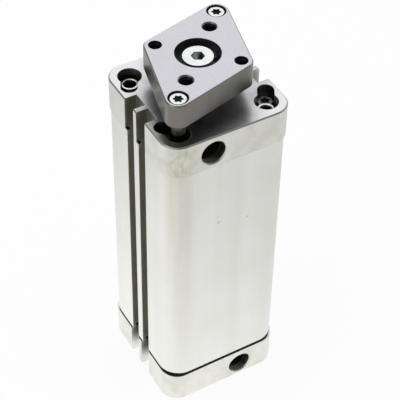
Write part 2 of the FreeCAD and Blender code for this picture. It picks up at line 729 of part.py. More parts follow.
os.makedirs("parts", exist_ok=True)
for part in nodes:
    part.Shape.exportStep("parts/%s.step" % part.Label)
print(len(nodes), "sub-parts written")
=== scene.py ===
import json
import math
import bmesh
import bpy
from mathutils import Matrix, Vector


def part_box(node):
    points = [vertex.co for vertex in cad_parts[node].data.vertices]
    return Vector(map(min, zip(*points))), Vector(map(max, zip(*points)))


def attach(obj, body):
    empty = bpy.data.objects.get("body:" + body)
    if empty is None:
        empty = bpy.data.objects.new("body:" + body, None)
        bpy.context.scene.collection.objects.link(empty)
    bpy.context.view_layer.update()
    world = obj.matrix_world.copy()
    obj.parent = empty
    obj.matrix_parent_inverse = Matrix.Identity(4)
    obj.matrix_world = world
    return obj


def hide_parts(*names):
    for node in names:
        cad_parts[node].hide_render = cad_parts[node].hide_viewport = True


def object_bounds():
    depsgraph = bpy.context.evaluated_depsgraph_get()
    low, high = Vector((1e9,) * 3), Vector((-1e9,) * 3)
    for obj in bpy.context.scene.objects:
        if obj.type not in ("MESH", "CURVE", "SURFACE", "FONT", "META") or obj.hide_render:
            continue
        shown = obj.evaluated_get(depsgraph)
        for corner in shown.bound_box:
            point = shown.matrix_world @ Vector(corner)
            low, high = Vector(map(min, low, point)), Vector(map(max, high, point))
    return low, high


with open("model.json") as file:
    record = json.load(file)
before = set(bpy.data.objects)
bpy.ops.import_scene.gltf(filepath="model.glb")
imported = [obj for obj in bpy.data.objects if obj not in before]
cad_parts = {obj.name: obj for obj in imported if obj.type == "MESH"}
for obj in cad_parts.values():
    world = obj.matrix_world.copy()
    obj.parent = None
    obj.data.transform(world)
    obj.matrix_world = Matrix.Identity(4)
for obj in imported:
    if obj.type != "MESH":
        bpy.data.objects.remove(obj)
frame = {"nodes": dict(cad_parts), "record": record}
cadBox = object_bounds()
nodes = frame["nodes"]
mm = 0.001
perMm = 1000.0  # Object coordinates are metres, so a pattern of n mm has the scale perMm / n
wavePeriod = math.tau / 20  # the Wave node's own period at a scale of 1
print("frame loaded:", len(nodes), "nodes")

# The photograph's viewpoint: above the near corner, ported face to the right
cameraSettings = {"aim": (0.00184, 0.0, 0.07374), "distance": 0.46423, "azimuth": -30.71, "elevation": 44.5,
                  "roll": 1.18, "lens": 120.73, "sensor": 36.0}


def makeCamera(settings):
    azimuth, elevation, roll = (math.radians(settings[name]) for name in ("azimuth", "elevation", "roll"))
    back = Vector((math.sin(azimuth) * math.cos(elevation), -math.cos(azimuth) * math.cos(elevation),
                   math.sin(elevation)))
    level = Vector((math.cos(azimuth), math.sin(azimuth), 0))
    right = Matrix.Rotation(roll, 3, back) @ level
    up = back.cross(right)
    data = bpy.data.cameras.new("photoCamera")
    data.lens = settings["lens"]
    data.sensor_width = settings["sensor"]
    camera = bpy.data.objects.new("photoCamera", data)
    bpy.context.scene.collection.objects.link(camera)
    turn = Matrix((right, up, back)).transposed().to_4x4()
    camera.matrix_world = Matrix.Translation(Vector(settings["aim"]) + back * settings["distance"]) @ turn
    bpy.context.scene.camera = camera


makeCamera(cameraSettings)
bpy.context.scene.view_settings.view_transform = "Standard"
print("camera set")


def srgb(code):
    # An sRGB hex value as the linear colour that a socket takes
    parts = [int(code[start:start + 2], 16) / 255 for start in (1, 3, 5)]
    return [part / 12.92 if part <= 0.04045 else ((part + 0.055) / 1.055) ** 2.4 for part in parts] + [1.0]


def addNode(tree, kind, inputs, **settings):
    # One node with its settings, and its sockets set or linked
    node = tree.nodes.new(kind)
    for name, value in settings.items():
        setattr(node, name, value)
    for key, value in inputs.items():
        if isinstance(value, bpy.types.NodeSocket):
            tree.links.new(value, node.inputs[key])
        else:
            node.inputs[key].default_value = value
    return node


# A white paper sweep, whose glow as the metal shows it is painted brightest in a pool at the object's
# left, a softbox overhead and one at each side, and the room's dark parts, behind the photographer and
# past the paper's left edge, that only the metal shows
studioSettings = {
    "floorSize": 4.0, "floorDrop": 0.2 * mm, "paper": "#FFFFFF", "ambient": 0.75, "shadowShare": 0.1,
    "paintedPoolCentre": (-0.045, 0.005, 0.0), "paintedPoolFrom": 0.015, "paintedPoolTo": 0.19, "paintedPoolHigh": 1.37, "paintedPoolLow": 0.92,
    "darkParts": {
        "photographer": {"way": (0.12, -0.70, 0.70), "from": 0.42, "full": 0.82, "level": 0.32},
        "leftEdge": {"way": (-0.76, 0.54, 0.36), "from": 0.75, "full": 0.93, "level": 0.25},
    },
    "lamps": {
        "overheadSoftbox": {"place": (-0.35, 0.25, 0.95), "size": 0.7, "power": 1.2, "colour": "#F6F6FF"},
        "leftSoftbox": {"place": (-0.85, -0.1, 0.35), "size": 0.6, "power": 1.2, "colour": "#FFFFFF"},
        "rightSoftbox": {"place": (0.55, -0.65, 0.25), "size": 0.5, "power": 0.4, "colour": "#FFFFFA"},
    },
    "aim": (0.0, 0.0, 0.07),
}


def makeStudio(settings):
    scene = bpy.context.scene
    white = srgb(settings["paper"])

    def raysFrom(tree):
        # The camera's own rays, and with them those by way of metal or glass
        path = addNode(tree, "ShaderNodeLightPath", {})
        mirrored = addNode(tree, "ShaderNodeMath", {
            0: path.outputs["Is Glossy Ray"], 1: path.outputs["Is Transmission Ray"]}, operation="MAXIMUM")
        seen = addNode(tree, "ShaderNodeMath", {0: path.outputs["Is Camera Ray"], 1: mirrored.outputs[0]},
                       operation="MAXIMUM")
        return path.outputs["Is Camera Ray"], seen.outputs[0]

    world = bpy.data.worlds.new("paperStudio")
    world.use_nodes = True
    tree = world.node_tree
    tree.nodes.clear()
    direct, seen = raysFrom(tree)
    around = addNode(tree, "ShaderNodeBackground", {"Color": white, "Strength": settings["ambient"]})
    way = addNode(tree, "ShaderNodeTexCoord", {}).outputs["Generated"]
    room = 1.0
    for part in settings["darkParts"].values():
        towards = addNode(tree, "ShaderNodeVectorMath", {0: way, 1: part["way"]}, operation="DOT_PRODUCT")
        shade = addNode(tree, "ShaderNodeMapRange", {
            "Value": towards.outputs["Value"], "From Min": part["from"], "From Max": part["full"],
            "To Min": 1.0, "To Max": part["level"]}, interpolation_type="SMOOTHSTEP")
        dimmed = addNode(tree, "ShaderNodeMath", {0: shade.outputs[0], 1: room}, operation="MULTIPLY")
        room = dimmed.outputs[0]
    level = addNode(tree, "ShaderNodeMix", {0: direct, 2: room, 3: 1.0})
    behind = addNode(tree, "ShaderNodeBackground", {"Color": white, "Strength": level.outputs[0]})
    mixed = addNode(tree, "ShaderNodeMixShader", {0: seen, 1: around.outputs[0], 2: behind.outputs[0]})
    addNode(tree, "ShaderNodeOutputWorld", {"Surface": mixed.outputs[0]})
    scene.world = world

    # Paper that is lit a little and shines mostly by itself, so that the shadow on it stays faint
    paper = bpy.data.materials.new("whitePaper")
    paper.use_nodes = True
    tree = paper.node_tree
    tree.nodes.clear()
    direct, seen = raysFrom(tree)
    spot = addNode(tree, "ShaderNodeTexCoord", {}).outputs["Object"]
    # A painted pool of light: the glow that metal and glass see rises towards the object's left
    away = addNode(tree, "ShaderNodeVectorMath", {0: spot, 1: settings["paintedPoolCentre"]}, operation="DISTANCE")
    paintedPool = addNode(tree, "ShaderNodeMapRange", {
        "Value": away.outputs["Value"], "From Min": settings["paintedPoolFrom"], "From Max": settings["paintedPoolTo"],
        "To Min": settings["paintedPoolHigh"], "To Max": settings["paintedPoolLow"]}, interpolation_type="SMOOTHSTEP")
    level = addNode(tree, "ShaderNodeMix", {0: direct, 2: paintedPool.outputs[0], 3: 1.0})
    lit = addNode(tree, "ShaderNodeBsdfDiffuse", {"Color": white})
    glow = addNode(tree, "ShaderNodeEmission", {"Color": white, "Strength": level.outputs[0]})
    share = addNode(tree, "ShaderNodeMath", {0: seen, 1: 1 - settings["shadowShare"]}, operation="MULTIPLY")
    mixed = addNode(tree, "ShaderNodeMixShader", {0: share.outputs[0], 1: lit.outputs[0], 2: glow.outputs[0]})
    addNode(tree, "ShaderNodeOutputMaterial", {"Surface": mixed.outputs[0]})
    half = settings["floorSize"] / 2
    drop = cadBox[0][2] - settings["floorDrop"]
    mesh = bpy.data.meshes.new("paperFloor")
    mesh.from_pydata([(-half, -half, drop), (half, -half, drop), (half, half, drop), (-half, half, drop)], [],
                     [(0, 1, 2, 3)])
    mesh.materials.append(paper)
    floor = bpy.data.objects.new("paperFloor", mesh)
    scene.collection.objects.link(floor)

    for name, lamp in settings["lamps"].items():
        data = bpy.data.lights.new(name, "AREA")
        data.energy = lamp["power"]
        data.size = lamp["size"]
        data.color = srgb(lamp["colour"])[:3]
        light = bpy.data.objects.new(name, data)
        light.location = lamp["place"]
        light.rotation_euler = (Vector(settings["aim"]) - light.location).to_track_quat("-Z", "Y").to_euler()
        scene.collection.objects.link(light)


makeStudio(studioSettings)
print("studio lit")


def startMaterial(name, **constants):
    material = bpy.data.materials.new(name)
    material.use_nodes = True
    tree = material.node_tree
    shader = tree.nodes["Principled BSDF"]
    for socket, value in constants.items():
        shader.inputs[socket.replace("_", " ")].default_value = value
    coords = addNode(tree, "ShaderNodeTexCoord", {}).outputs["Object"]
    return material, tree, shader, coords


# How finely edges and recesses are sensed, and how far a normal turns at an edge, as a cosine
senseSettings = {"edgeSamples": 6, "edgeFrom": 0.995, "edgeFull": 0.85, "openSamples": 16}


def edgeAndRecess(tree, look):
    # A normal that rounds sharp edges, masks of those edges and of recesses, and how open each spot lies.
    # By these masks the looks paint light and shade on edges and painted shade in recesses
    rounded = addNode(tree, "ShaderNodeBevel", {"Radius": look["edgeRoundMm"] * mm},
                      samples=senseSettings["edgeSamples"])
    flat = addNode(tree, "ShaderNodeNewGeometry", {})
    along = addNode(tree, "ShaderNodeVectorMath", {0: rounded.outputs[0], 1: flat.outputs["Normal"]},
                    operation="DOT_PRODUCT")
    edge = addNode(tree, "ShaderNodeMapRange", {
        "Value": along.outputs["Value"], "From Min": senseSettings["edgeFrom"],
        "From Max": senseSettings["edgeFull"]})
    openness = addNode(tree, "ShaderNodeAmbientOcclusion", {"Distance": look["recessReachMm"] * mm},
                       samples=senseSettings["openSamples"], only_local=True)
    recess = addNode(tree, "ShaderNodeMapRange", {
        "Value": openness.outputs["AO"], "From Min": look["recessFrom"], "From Max": look["recessFull"]})
    return rounded.outputs[0], edge.outputs[0], recess.outputs[0], openness.outputs["AO"]


def dressShader(tree, shader, look, layers, grain, height, normal, sheens=()):
    # The look's colours laid over each other by the masks of the same names, then the sheen and the bump
    colour = srgb(look["colour"])
    for layer, mask in layers.items():
        colour = addNode(tree, "ShaderNodeMix", {0: mask, 6: colour, 7: srgb(look[layer + "Colour"])},
                         data_type="RGBA").outputs[2]
    rough = addNode(tree, "ShaderNodeMapRange", {
        "Value": grain, "To Min": look["roughness"] - look["roughnessSpread"],
        "To Max": look["roughness"] + look["roughnessSpread"]}).outputs[0]
    for mask, roughness in sheens:
        rough = addNode(tree, "ShaderNodeMix", {0: mask, 2: rough, 3: roughness}).outputs[0]
    bump = addNode(tree, "ShaderNodeBump", {"Height": height, "Strength": look["bump"],
                                            "Distance": look["bumpMm"] * mm, "Normal": normal})
    tree.links.new(colour, shader.inputs["Base Color"])
    tree.links.new(rough, shader.inputs["Roughness"])
    tree.links.new(bump.outputs[0], shader.inputs["Normal"])


def makeAnodised(name, look):
    material, tree, shader, coords = startMaterial(name)
    normal, edge, recess, openness = edgeAndRecess(tree, look)
    surface = addNode(tree, "ShaderNodeNewGeometry", {}).outputs["Normal"]
    facing = addNode(tree, "ShaderNodeSeparateXYZ", {0: surface}).outputs
    place = addNode(tree, "ShaderNodeSeparateXYZ", {0: coords}).outputs

    # Soft bands along the extrusion, cloudy handling marks, oil that ran down and a fine blasted grain
    noises = {}
    for kind in ("band", "cloud", "oilRun", "grain"):
        width = perMm / look[kind + "Mm"]
        length = perMm / look.get(kind + "LengthMm", look[kind + "Mm"])
        stretched = addNode(tree, "ShaderNodeMapping", {"Vector": coords, "Scale": (width, width, length)})
        noises[kind] = addNode(tree, "ShaderNodeTexNoise", {
            "Vector": stretched.outputs[0], "Scale": 1.0, "Detail": look[kind + "Detail"]}).outputs["Fac"]
    # Small dark nicks, one in each few cells of a coarse pattern, and faint turning marks down the bores
    cells = addNode(tree, "ShaderNodeTexVoronoi", {"Vector": coords, "Scale": perMm / look["nickSpacingMm"]})
    turns = addNode(tree, "ShaderNodeTexWave", {
        "Vector": coords, "Scale": wavePeriod * perMm / look["turnMm"], "Distortion": look["turnDistortion"],
        "Detail": look["turnDetail"]}, bands_direction="Z")

    # How far each spot lies from the oil streak's middle, the plate's diagonal, the near guide pin and the
    # middle plane, and how much it lies on a port's low side
    aside = addNode(tree, "ShaderNodeMath", {0: place["X"], 1: look["oilMiddleMm"] * mm},
                    operation="SUBTRACT")
    beside = addNode(tree, "ShaderNodeMath", {0: aside.outputs[0]}, operation="ABSOLUTE")
    diagonal = addNode(tree, "ShaderNodeVectorMath", {0: coords, 1: look["paintedLightWay"]},
                       operation="DOT_PRODUCT")
    shifted = addNode(tree, "ShaderNodeMath", {0: diagonal.outputs["Value"], 1: look["paintedLightShiftMm"] * mm},
                      operation="SUBTRACT")
    free = addNode(tree, "ShaderNodeMath", {0: shifted.outputs[0]}, operation="ABSOLUTE")
    spread = addNode(tree, "ShaderNodeVectorMath", {0: coords, 1: [part * mm for part in look["darkNearPinCentre"]]},
                     operation="DISTANCE")
    apart = addNode(tree, "ShaderNodeMath", {0: place["Y"]}, operation="ABSOLUTE")
    low = addNode(tree, "ShaderNodeVectorMath", {0: surface, 1: look["glintWay"]}, operation="DOT_PRODUCT")

    # Each mask: what it follows, where that starts and is full, and how much the mask then covers
    spans = {
        "band": (noises["band"], look["bandFrom"], look["bandFull"], look["bandShare"]),
        "cloud": (noises["cloud"], look["cloudFrom"], look["cloudFull"], look["cloudShare"]),
        "fine": (noises["grain"], look["toothFrom"], look["toothFull"], look["toothShare"]),
        "nick": (cells.outputs["Distance"], look["nickMm"] / look["nickSpacingMm"], 0.0, look["nickShare"]),
        "milled": (facing["Z"], look["levelFrom"], look["levelFull"], 1.0),
        # Downward faces, which the looks paint darker as shade
        "shadedUnderside": (facing["Z"], -look["levelFrom"], -look["levelFull"], 1.0),
        "ported": (facing["Y"], look["portedFrom"], look["portedFull"], 1.0),
        "streak": (beside.outputs[0], look["oilWidthMm"] * mm, 0.0, 1.0),
        "fall": (place["Z"], look["oilEndMm"] * mm, look["oilFullMm"] * mm, 1.0),
        "farFromPlate": (free.outputs[0], look["paintedLightFromMm"] * mm, look["paintedLightFullMm"] * mm, look["paintedLightShare"]),
        "nearPin": (spread.outputs["Value"], look["darkNearPinFromMm"] * mm, look["darkNearPinFullMm"] * mm, look["darkNearPinShare"]),
        "offMiddle": (apart.outputs[0], look["boreSideFromMm"] * mm, look["boreSideFullMm"] * mm, 1.0),
        "aboveFoot": (place["Z"], look["footFromMm"] * mm, look["footFullMm"] * mm, 1.0),
        "deep": (openness, look["boreFrom"], look["boreFull"], 1.0),
        "lowWall": (low.outputs["Value"], look["glintFrom"], look["glintFull"], 1.0),
        "mouth": (place["Y"], -look["glintEndMm"] * mm, -look["glintFullMm"] * mm, 1.0),
    }
    softMasks = ("streak", "nearPin")
    masks = {"edge": edge, "recess": recess, "turns": turns.outputs["Fac"]}
    for title, (value, start, full, share) in spans.items():
        masks[title] = addNode(tree, "ShaderNodeMapRange", {
            "Value": value, "From Min": start, "From Max": full, "To Max": share},
            interpolation_type="SMOOTHSTEP" if title in softMasks else "LINEAR").outputs[0]
    masks["patchy"] = addNode(tree, "ShaderNodeMapRange", {
        "Value": noises["oilRun"], "From Min": look["oilRunFrom"], "From Max": look["oilRunFull"],
        "To Min": look["oilThin"] * look["oilShare"], "To Max": look["oilShare"]}).outputs[0]
    # Faces by their slope, as the upward part of the normal: cut chamfers, with painted shading, and
    # upright walls
    for title in ("chamferShading", "upright"):
        masks[title] = addNode(tree, "ShaderNodeMath", {0: facing["Z"], 1: look[title + "Slope"],
                                                        2: look["slopeSpan"]}, operation="COMPARE").outputs[0]
    # Small dings in the ported face
    masks["ding"] = 0.0
    for x, z, size in look["dings"]:
        middle = (x * mm, look["dingDepthMm"] * mm, z * mm)
        off = addNode(tree, "ShaderNodeVectorMath", {0: coords, 1: middle}, operation="DISTANCE")
        ding = addNode(tree, "ShaderNodeMapRange", {"Value": off.outputs["Value"], "From Min": size * mm,
                                                    "From Max": 0.0}, interpolation_type="SMOOTHSTEP")
        masks["ding"] = addNode(tree, "ShaderNodeMath", {0: ding.outputs[0], 1: masks["ding"]},
                                operation="MAXIMUM").outputs[0]
    # Marks that show only where all of their masks do
    joined = {
        "oil": ("patchy", "streak", "fall", "ported"),  # dried, down from the plate's near tip
        "tooth": ("milled", "fine"),
        "smudge": ("milled", "cloud"),
        "paintedLight": ("farFromPlate", "milled"),  # painted light, away from the plate's shade
        "darkNearPin": ("nearPin", "milled"),  # darker round the near guide pin
        "slot": ("recess", "aboveFoot"),  # painted shade; the paper lights the slots' lowest ends
        "boreShade": ("deep", "offMiddle"),  # painted shade, ports too; the sensor slots lie beside the middle plane
        "turn": ("turns", "upright", "boreShade"),
        "glint": ("lowWall", "mouth", "boreShade"),  # painted glint near a port's mouth, dull and not metal
    }
    for title, (first, *others) in joined.items():
        masks[title] = masks[first]
        for other in others:
            masks[title] = addNode(tree, "ShaderNodeMath", {0: masks[title], 1: masks[other]},
                                   operation="MULTIPLY").outputs[0]

    order = ("band", "cloud", "oil", "nick", "milled", "tooth", "smudge", "paintedLight", "darkNearPin", "ding", "shadedUnderside",
             "edge", "chamferShading", "slot", "boreShade", "turn", "glint")
    layers = {layer: masks[layer] for layer in order}
    sheens = ((masks["milled"], look["milledRoughness"]), (masks["glint"], look["glintRoughness"]))
    dressShader(tree, shader, look, layers, noises["grain"], noises["grain"], normal, sheens)
    # All is metal but the painted glint
    bare = addNode(tree, "ShaderNodeMath", {0: 1.0, 1: masks["glint"]}, operation="SUBTRACT")
    tree.links.new(bare.outputs[0], shader.inputs["Metallic"])
    return material


# Clear anodised aluminium extrusion: a pale warm grey with a satin sheen, almost even, soft bands along it.
# From and Full say where a mask starts and where it is full, Share how much of the colour it then lays on
tubeLook = {
    "colour": "#DFDFDB", "roughness": 0.45, "roughnessSpread": 0.06,
    # Edges painted lighter as a highlight
    "edgeColour": "#F0F0EC", "edgeRoundMm": 0.25,
    "grainMm": 0.5, "grainDetail": 2.0, "bump": 0.1, "bumpMm": 0.02,
    "bandColour": "#D6D6D1", "bandMm": 6.0, "bandLengthMm": 300.0, "bandDetail": 2.0,
    "bandFrom": 0.35, "bandFull": 0.7, "bandShare": 0.6,
    "cloudColour": "#D5D4CA", "cloudMm": 18.0, "cloudDetail": 5.0,
    "cloudFrom": 0.45, "cloudFull": 0.7, "cloudShare": 0.35, "smudgeColour": "#A6A7A9",
    "oilColour": "#B6B5A0", "oilMiddleMm": -18.5, "oilWidthMm": 8.0, "oilEndMm": 0.0, "oilFullMm": 115.0,
    "oilRunMm": 3.0, "oilRunLengthMm": 30.0, "oilRunDetail": 4.0, "oilRunFrom": 0.3, "oilRunFull": 0.7,
    "oilShare": 0.6, "oilThin": 0.5, "portedFrom": -0.3, "portedFull": -0.6,
    "nickColour": "#8C8B80", "nickSpacingMm": 9.0, "nickMm": 0.35, "nickShare": 0.5,
    "dingColour": "#BDBDB5", "dingDepthMm": -22.75,
    "dings": ((-4.4, 86.0, 0.9), (-4.6, 88.6, 0.5), (6.8, 83.4, 0.8)),  # across, up and size in mm
    # Top faces: here the tube's ends, seen only in the caps' notches, painted dark as the shade there; the
    # caps and plate give their milled tops a bluish tone, a painted reflection of overhead light. Downward
    # faces painted darker as shade
    "milledColour": "#2C2C2A", "milledRoughness": 0.3, "shadedUndersideColour": "#B4B4B0",
    "levelFrom": 0.85, "levelFull": 0.95,
    "toothColour": "#2C2C2A", "toothFrom": 0.35, "toothFull": 0.75, "toothShare": 0.6,
    # Top chamfers painted darker as shade, on the plate lighter than its sides
    "chamferShadingColour": "#B4B4B0", "chamferShadingSlope": 0.707, "uprightSlope": 0.0, "slopeSpan": 0.1,
    # The cap's top painted lighter away from the plate's shade
    "paintedLightColour": "#E8E9EA", "paintedLightWay": (0.707, -0.707, 0.0), "paintedLightShiftMm": 1.5,
    "paintedLightFromMm": 17.0, "paintedLightFullMm": 24.0, "paintedLightShare": 0.0,
    # Darker round the near guide pin
    "darkNearPinColour": "#A2A294", "darkNearPinCentre": (-20.2, -18.3, 124.5),
    "darkNearPinFromMm": 5.6, "darkNearPinFullMm": 3.0, "darkNearPinShare": 0.0,
    # Slots painted darker as shade
    "slotColour": "#ABABA0", "recessReachMm": 6.0, "recessFrom": 0.94, "recessFull": 0.6,
    "footFromMm": 3.5, "footFullMm": 9.0,
    # Bores and ports painted darker as shade
    "boreShadeColour": "#3A3A36", "boreFrom": 0.92, "boreFull": 0.6,
    "boreSideFromMm": 99.5, "boreSideFullMm": 100.5,  # past the tube's sides, whose recesses are all slots
    "turnColour": "#3A3A36", "turnMm": 0.9, "turnDistortion": 1.5, "turnDetail": 2.0,
    # A port's low wall near the mouth painted lighter as a glint
    "glintColour": "#8A8A82", "glintRoughness": 0.9, "glintWay": (0.6, 0.0, 0.8),
    "glintFrom": 0.3, "glintFull": 0.9, "glintEndMm": 15.0, "glintFullMm": 21.0,
}
# The same alloy machined and blasted: a little greyer, mottled, with glossier milled ends whose bluish tone
# is a painted reflection of overhead light; edges painted darker as shade, the top painted lighter away from
# the plate and darker round the near guide pin
capLook = dict(
    tubeLook, colour="#DADAD4", edgeColour="#B4B4AE", grainMm=0.7, bump=0.2,
    bandColour="#CFCFC9", bandMm=3.0, bandLengthMm=8.0, cloudColour="#C9C8BD", cloudMm=6.0, cloudShare=0.75,
    oilRunMm=1.6, oilRunLengthMm=2.6, oilShare=0.95, oilThin=0.1, nickSpacingMm=6.0,
    milledColour="#CCCDCF", toothColour="#B9BABC", chamferShadingColour="#A4A49F", paintedLightShare=1.0, darkNearPinShare=1.0,
    slotColour="#8E8E84", recessFrom=0.97, recessFull=0.8,
    boreShadeColour="#1E1E1B", boreFrom=0.95, boreFull=0.7, boreSideFromMm=8.0, boreSideFullMm=9.0,
    turnColour="#54544F")
# The rear cap's notches: painted darker as shade behind the gasket, down to where the paper lights them
rearCapLook = dict(capLook, slotColour="#70706A")
# Milled plate: a lavender grey top with a fine tooth, its tone partly a painted reflection of overhead light,
# and sides painted dark as a reflection of the shaded cap below, with painted shade underneath
plateLook = dict(
    tubeLook, colour="#7A7A75", roughness=0.32, edgeColour="#8A8A86", grainMm=0.4, bump=0.02,
    bandColour="#736A64", bandMm=4.0, bandLengthMm=60.0, cloudColour="#7F7E7A", cloudMm=7.0,
    smudgeColour="#CFCFD6", oilShare=0.0, nickShare=0.0, milledColour="#D8D8DE", milledRoughness=0.36,
    shadedUndersideColour="#5E5E5A", toothColour="#C4C4CB", chamferShadingColour="#8E8E8A", slotColour="#2A2A27",
    boreShadeColour="#7C7C7E", boreSideFromMm=0.5, boreSideFullMm=1.5, turnColour="#8E8E90")


def axisOf(node):
    # Where a node's turned pieces have their axes, folded into the quarter of positive X and Y
    corners = [corner.co for corner in nodes[node].data.vertices]
    onAxis = 0.5 * mm  # pieces that come this near to a middle plane lie across it
    middle = []
    for axis in (0, 1):
        spread = [abs(corner[axis]) for corner in corners]
        middle.append(0.0 if min(spread) < onAxis else (min(spread) + max(spread)) / 2)
    return middle


def makePlated(name, look):
    material, tree, shader, coords = startMaterial(name, Metallic=1.0)
    normal, edge, recess = edgeAndRecess(tree, look)[:3]
    folded = addNode(tree, "ShaderNodeVectorMath", {0: coords}, operation="ABSOLUTE")
    centred = addNode(tree, "ShaderNodeVectorMath", {0: folded.outputs[0], 1: (*look["axis"], 0.0)},
                      operation="SUBTRACT")
    rings = addNode(tree, "ShaderNodeTexWave", {
        "Vector": centred.outputs[0], "Scale": wavePeriod * perMm / look["ringMm"],
        "Distortion": look["ringDistortion"], "Detail": look["ringDetail"]},
        wave_type=look["ringType"], rings_direction="Z", bands_direction="Z")
    cloud, grain = (addNode(tree, "ShaderNodeTexNoise", {
        "Vector": coords, "Scale": perMm / look[kind + "Mm"], "Detail": look[kind + "Detail"]})
        for kind in ("cloud", "grain"))
    # A painted highlight on one side of a socket, and painted shade on the screws in the left corners' bores
    across = addNode(tree, "ShaderNodeVectorMath", {0: coords, 1: look["socketHighlightWay"]}, operation="DOT_PRODUCT")
    side = addNode(tree, "ShaderNodeMapRange", {
        "Value": across.outputs["Value"], "From Min": look["socketHighlightFromMm"] * mm,
        "From Max": look["socketHighlightFullMm"] * mm, "To Max": look["socketHighlightShare"]}, interpolation_type="SMOOTHSTEP")
    worn = addNode(tree, "ShaderNodeMath", {0: side.outputs[0], 1: recess}, operation="MULTIPLY")
    place = addNode(tree, "ShaderNodeSeparateXYZ", {0: coords})
    oily = addNode(tree, "ShaderNodeMapRange", {
        "Value": place.outputs["X"], "From Min": 0.0, "From Max": look["leftBoreShadeFullMm"] * mm,
        "To Max": look["leftBoreShadeShare"]})
    clouded = addNode(tree, "ShaderNodeMapRange", {
        "Value": cloud.outputs["Fac"], "From Min": look["cloudFrom"], "From Max": look["cloudFull"]})
    turned = addNode(tree, "ShaderNodeMath", {0: rings.outputs["Fac"], 1: look["ringShare"]},
                     operation="MULTIPLY")
    height = addNode(tree, "ShaderNodeMath", {0: rings.outputs["Fac"], 1: grain.outputs["Fac"]},
                     operation="ADD")
    layers = {"cloud": clouded.outputs[0], "ring": turned.outputs[0], "edge": edge, "recess": recess,
              "worn": worn.outputs[0], "oily": oily.outputs[0]}
    dressShader(tree, shader, look, layers, grain.outputs["Fac"], height.outputs[0], normal,
                ((recess, look["recessRoughness"]),))
    return material


# Zinc plated steel, turned: nearly white and bright, with fine rings round the head and a greenish socket
# painted darker as shade
screwLook = {
    "colour": "#F9FBFA", "roughness": 0.24, "roughnessSpread": 0.05,
    # Edges painted lighter as a highlight
    "edgeColour": "#FCFDFC", "edgeRoundMm": 0.2,
    "grainMm": 0.3, "grainDetail": 2.0, "bump": 0.12, "bumpMm": 0.01,
    "cloudColour": "#F0F2F1", "cloudMm": 2.5, "cloudDetail": 3.0, "cloudFrom": 0.4, "cloudFull": 0.7,
    "ringColour": "#DCDEDD", "ringMm": 0.35, "ringShare": 0.4, "ringType": "RINGS",
    "ringDistortion": 0.6, "ringDetail": 2.0, "axis": (0.0, 0.0),
    # Sockets and recesses painted darker as shade
    "recessColour": "#7C867E", "recessRoughness": 0.24,
    "recessReachMm": 3.0, "recessFrom": 0.94, "recessFull": 0.6,
    # A painted highlight on one side of a socket
    "wornColour": "#E6F2E2", "socketHighlightWay": (-0.86, 0.51, 0.0),
    "socketHighlightFromMm": -0.9, "socketHighlightFullMm": 0.7, "socketHighlightShare": 0.0,
    # Painted shade on the screws in the left corners' bores
    "oilyColour": "#2A2A27", "leftBoreShadeFullMm": -1.0, "leftBoreShadeShare": 0.0,
}
# The plate's screw: a dull socket painted darker as shade, with a painted highlight on one side
yokeScrewLook = dict(screwLook, recessColour="#3E4C42", recessRoughness=0.7, socketHighlightShare=1.0)
# The guide pins' screws, the cap's screws, dull and on the left painted dark as shade in their bores, and
# the sleeves with their broad rims
guideScrewLook = dict(screwLook, axis=axisOf("guide_pin_screws"))
capScrewLook = dict(screwLook, axis=axisOf("front_cap_screws"), roughness=0.4, leftBoreShadeShare=0.9)
sleeveLook = dict(screwLook, axis=axisOf("front_tie_sleeves"), edgeRoundMm=0.45)
# Ground and hard chromed steel: a cool bright mirror with faint grinding lines round the rod
chromeLook = dict(screwLook, colour="#C2C4C6", cloudColour="#BABCBE", ringColour="#ACAEB0",
                  edgeColour="#D6D8DA", recessColour="#5A5B5C", roughness=0.14, ringType="BANDS", ringMm=0.6,
                  ringShare=0.3, bump=0.02)
# Hardened pin steel: darker than the rod, as painted shade of the dark surroundings that the pins mirror
paintedShadePinLook = dict(chromeLook, colour="#5A5954", cloudColour="#52514C", ringColour="#4A4945",
               edgeColour="#6A6964", recessColour="#3A3A3A", roughness=0.2, bump=0.04)
# Freshly cut thread: dark between its crests, where no light reaches
threadLook = dict(screwLook, colour="#3C3C39", cloudColour="#343431", ringColour="#2E2E2C",
                  edgeColour="#565652", recessColour="#141413", roughness=0.35, recessReachMm=1.0)
# Oil-filled sintered bronze: dull brown gold, porous
bronzeLook = dict(screwLook, colour="#A98A5B", cloudColour="#8F7247", ringColour="#9A7C4E",
                  edgeColour="#C0A272", recessColour="#4A3A24", roughness=0.5, bump=0.4)
# Bare turned aluminium: a plain mid grey with a visible feed mark
turnedLook = dict(screwLook, colour="#C4C6C8", cloudColour="#B8BABD", ringColour="#AEB0B3",
                  edgeColour="#DADADA", recessColour="#5A5B5C", roughness=0.35)


def makeMoulded(name, look):
    material, tree, shader, coords = startMaterial(name, Metallic=0.0, IOR=look["ior"],
                                                   Specular_IOR_Level=look["specular"])
    normal, edge, recess = edgeAndRecess(tree, look)[:3]
    grain = addNode(tree, "ShaderNodeTexNoise", {
        "Vector": coords, "Scale": perMm / look["grainMm"], "Detail": look["grainDetail"]}).outputs["Fac"]
    dust = addNode(tree, "ShaderNodeMapRange", {
        "Value": grain, "From Min": look["dustFrom"], "From Max": look["dustFull"]})
    layers = {"dust": dust.outputs[0], "edge": edge, "recess": recess}
    dressShader(tree, shader, look, layers, grain, grain, normal)
    return material


